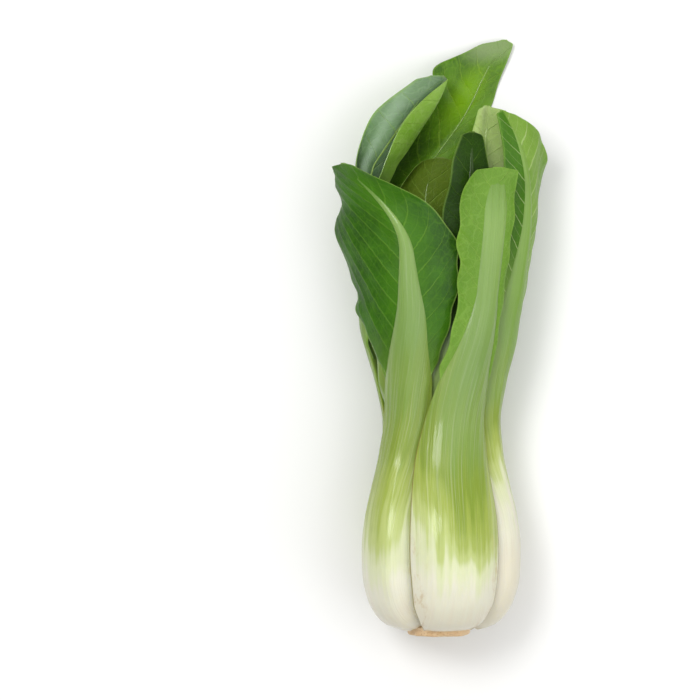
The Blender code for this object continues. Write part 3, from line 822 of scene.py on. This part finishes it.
def stalkMarks(tree, colour, number, place, fromRib, height, edge):
    # Ochre marks along the edges low down, an olive-brown line along both edges of each stalk lower down, and
    # the browned cut at the foot
    spread = spot(tree, times(tree, fromRib, 2.2), height, 9.0 * number)
    marks = fadeBetween(tree, noise(tree, spread, 0.11, 4.0, 0.65), 0.5, 0.7)
    low = times(tree, fadeBetween(tree, height, 44.0, 18.0), fadeBetween(tree, edge, 0.5, 0.97))
    colour = mixColour(tree, times(tree, times(tree, marks, low), 0.7), colour, sRgb(*stalkTones["stain"]))
    # an olive-brown line along both edges of the stalk, full below 60 mm and gone above 84 mm
    edgeLine = times(tree, fadeBetween(tree, edge, 0.955, 0.99), fadeBetween(tree, height, 84.0, 60.0))
    colour = mixColour(tree, times(tree, edgeLine, 0.9), colour, sRgb(*stalkTones["edgeLine"]))
    ragged = plus(tree, height, times(tree, noise(tree, place, 0.9, 4.0, 0.6), 2.2))
    for tone, low, high, strength in (("foot", 2.0, 3.9, 0.75), ("bruise", 1.7, 2.5, 0.45)):
        browned = fadeBetween(tree, ragged, low, high, strength, 0.0)
        colour = mixColour(tree, browned, colour, sRgb(*stalkTones[tone]))
    return colour


def stalkFinish(number):
    finish, tree, shader = newFinish(f"pale_stalk_{number:02d}")
    fromRib, height, edge, outside, share = (
        layer(tree, label) for label in ("fromRib", "height", "edge", "outside", "share"))
    fibres = useGroup(tree, fibreGroup, FromRib=fromRib, Height=height, Offset=3.7 * number)
    place = spot(tree, fromRib, height, 5.1 * number)
    clouds = noise(tree, place, 0.045, 3.0)
    shifted = greenHeight(tree, number, fromRib, height, edge, fibres["Broad"], clouds)
    colour = heightRamp(tree, shifted, stalkTones["ramp"])
    colour = stalkLines(tree, colour, height, fibres["Fine"])
    colour = ribColour(tree, colour, number, height, outside, share)
    colour = stalkMarks(tree, colour, number, place, fromRib, height, edge)
    joinUp(tree, colour, shader.inputs["Base Color"])
    fine = noise(tree, place, 1.6, 3.0, 0.6)
    joinUp(tree, plus(tree, 0.24, times(tree, fine, 0.2)), shader.inputs["Roughness"])
    addBump(tree, plus(tree, times(tree, fibres["Fine"], 0.3), times(tree, fine, 0.08)), *stalkTones["bump"])
    setSkin(shader, stalkTones["skin"])
    return finish


leaves = []
for number in range(len(leafTable)):
    leaf = Leaf(number, list(leaves))
    leaves.append(leaf)
    label = f"{number + 1:02d}"
    stalkMesh = shapeMesh(f"stalk_{label}_fresh", stalkPlace(leaf), stalkShape["columns"][leaf.kind],
                          stalkShape["rows"][leaf.kind])
    addPiece(f"stalk_{label}_fresh", stalkMesh, stalkFinish(number + 1), f"stalk_{label}")
    bladeMesh = shapeMesh(f"blade_{label}_fresh", bladePlace(leaf), bladeShape["columns"][leaf.kind],
                          bladeShape["rows"][leaf.kind])
    addPiece(f"blade_{label}_fresh", bladeMesh, bladeFinish(number + 1), f"blade_{label}")
print("leaves made:", len(leaves))

# The short stem with its cut face
stem = {
    # radius and height of the turned profile, in mm
    "outline": [(0.02, 0.35), (1.5, 0.2), (3.0, 0.05), (4.6, 0.12), (6.2, 0.0), (8.0, 0.06), (9.5, 0.02),
                (10.3, 0.35), (10.7, 0.9), (10.7, 1.8), (12.0, 3.0), (10.2, 4.8), (6.8, 7.6), (3.2, 10.4),
                (0.02, 11.6)],
    "sides": 96,
    "cream": (252, 234, 192),
    "ring": (226, 190, 138),
    "brown": (208, 156, 106),
    "fleck": (158, 98, 62),
    "green": (210, 214, 170),
    "bump": (0.7, 0.8 * mm),
    "skin": {"Subsurface Weight": 0.2, "Subsurface Radius": (1.0, 0.8, 0.5), "Subsurface Scale": 2.0 * mm},
}


def stemFinish():
    finish, tree, shader = newFinish("cut_end")
    # millimetres from the middle of the cut
    centred = tree.nodes.new("ShaderNodeMapping")
    centred.vector_type = "TEXTURE"
    centred.inputs["Location"].default_value = axisPlace
    centred.inputs["Scale"].default_value = (mm, mm, mm)
    joinUp(tree, tree.nodes.new("ShaderNodeTexCoord").outputs["Object"], centred.inputs["Vector"])
    place = centred.outputs[0]
    parts = tree.nodes.new("ShaderNodeSeparateXYZ")
    joinUp(tree, place, parts.inputs[0])
    x, _, z = parts.outputs
    away = calc(tree, "SQRT", plus(tree, times(tree, x, x), times(tree, z, z)))
    rough = noise(tree, place, 0.5, 5.0, 0.6)
    wavy = plus(tree, away, times(tree, minus(tree, rough, 0.5), 3.0))
    rings = calc(tree, "ABSOLUTE", calc(tree, "SINE", times(tree, wavy, 1.15)))
    specks = fadeBetween(tree, noise(tree, place, 1.7, 5.0, 0.7), 0.54, 0.68, 0.0, 0.75)
    # rings, a greener heart, the dry rim and its flecks
    colour = sRgb(*stem["cream"])
    for share, tone in ((fadeBetween(tree, rings, 0.55, 1.0, 0.0, 0.55), "ring"),
                        (fadeBetween(tree, wavy, 2.6, 5.2, 0.5, 0.0), "green"),
                        (fadeBetween(tree, wavy, 7.6, 10.6, 0.0, 0.5), "brown"),
                        (times(tree, specks, fadeBetween(tree, away, 4.0, 10.0, 0.2, 1.0)), "fleck")):
        colour = mixColour(tree, share, colour, sRgb(*stem[tone]))
    joinUp(tree, colour, shader.inputs["Base Color"])
    joinUp(tree, plus(tree, 0.5, times(tree, rough, 0.25)), shader.inputs["Roughness"])
    addBump(tree, plus(tree, times(tree, rings, 0.4), rough), *stem["bump"])
    setSkin(shader, stem["skin"])
    return finish


def stemMesh():
    bm = bmesh.new()
    points = [bm.verts.new((radius, y, 0)) for radius, y in stem["outline"]]
    edges = [bm.edges.new(pair) for pair in zip(points, points[1:])]
    bmesh.ops.spin(bm, geom=points + edges, cent=(0, 0, 0), axis=(0, 1, 0), angle=2 * math.pi,
                   steps=stem["sides"], use_merge=True)
    bmesh.ops.holes_fill(bm, edges=[edge for edge in bm.edges if edge.is_boundary], sides=0)
    bmesh.ops.remove_doubles(bm, verts=bm.verts[:], dist=0.001)
    bmesh.ops.recalc_face_normals(bm, faces=bm.faces[:])
    for vertex in bm.verts:
        x, y, z = vertex.co
        away = math.hypot(x, z)
        # five shallow hollows where leaves were cut off, a ragged rim and an uneven face
        hollows = 0.5 + 0.5 * math.sin(5 * math.atan2(x, z) + 0.6)
        inward = 1 - 0.03 * hollows * min(away / 8, 1)
        if away > 9.0:
            inward -= 0.02 * (1 + float(ripples(x, z, 7.7, 1.1)))
        rough = 0.12 * float(ripples(x, z, 4.2, 2.0)) if y < 2 else 0
        vertex.co = (x * inward, max(y + rough, 0), z * inward * float(curveAt(head["flatness"], y)))
    bmesh.ops.scale(bm, vec=(mm, mm, mm), verts=bm.verts[:])
    bmesh.ops.translate(bm, vec=axisPlace, verts=bm.verts[:])
    mesh = bpy.data.meshes.new("stem_cut_fresh")
    bm.to_mesh(mesh)
    bm.free()
    return mesh


addPiece("stem_cut_fresh", stemMesh(), stemFinish(), "stem_base")
print("stem made")

# The pale surface that the head lies on, soft light from above and the camera over it
studio = {
    "floor": (247, 247, 246),
    "floorHalf": 3.0,
    "floorBelow": 0.0002,
    "viewWidth": 0.7 / 3,  # metres across the picture
    "lens": 200.0,
    "sensor": 36.0,
    "viewMiddle": (-29.7, 95.0, 0.0),  # mm from the stem's cut end
    # name, place, power and size of each light
    "lights": [("key", (-0.36, 0.3, 0.95), 4.2, 0.36), ("soft", (-0.08, 0.06, 1.1), 5.2, 1.3),
               ("fill", (0.6, -0.2, 0.7), 3.0, 0.8), ("back", (0.15, 0.9, 0.5), 1.6, 0.5)],
    "lightsAimAt": (0, 0, 0.02),
    "sky": 0.3,
}


def addFloor():
    bm = bmesh.new()
    bmesh.ops.create_grid(bm, x_segments=2, y_segments=2, size=studio["floorHalf"])
    bmesh.ops.translate(bm, vec=(0, 0, cadBox[0][2] - studio["floorBelow"]), verts=bm.verts[:])
    mesh = bpy.data.meshes.new("floor")
    bm.to_mesh(mesh)
    bm.free()
    finish, _, shader = newFinish("pale_floor")
    setSkin(shader, {"Base Color": sRgb(*studio["floor"]), "Roughness": 0.85})
    mesh.materials.append(finish)
    floor = bpy.data.objects.new("floor", mesh)
    bpy.context.scene.collection.objects.link(floor)


def addLight(name, place, power, size):
    lamp = bpy.data.lights.new(name, "AREA")
    lamp.energy = power
    lamp.size = size
    light = bpy.data.objects.new(name, lamp)
    light.location = place
    aim = Vector(studio["lightsAimAt"]) - Vector(place)
    light.rotation_euler = aim.to_track_quat("-Z", "Y").to_euler()
    bpy.context.scene.collection.objects.link(light)


def addCamera():
    middle = axisPlace + np.array(studio["viewMiddle"]) * mm
    camera = bpy.data.objects.new("camera", bpy.data.cameras.new("camera"))
    camera.data.lens = studio["lens"]
    camera.data.sensor_width = studio["sensor"]
    camera.data.clip_start = 0.01
    distance = studio["lens"] / studio["sensor"] * studio["viewWidth"]
    camera.location = (middle[0], middle[1], middle[2] + distance)
    bpy.context.scene.collection.objects.link(camera)
    bpy.context.scene.camera = camera


def addSky():
    world = bpy.data.worlds.new("studio")
    world.use_nodes = True
    background = world.node_tree.nodes["Background"]
    background.inputs["Color"].default_value = (1, 1, 1, 1)
    background.inputs["Strength"].default_value = studio["sky"]
    bpy.context.scene.world = world
    bpy.context.scene.view_settings.view_transform = "Standard"


addFloor()
for light in studio["lights"]:
    addLight(*light)
addCamera()
addSky()
print("studio made")
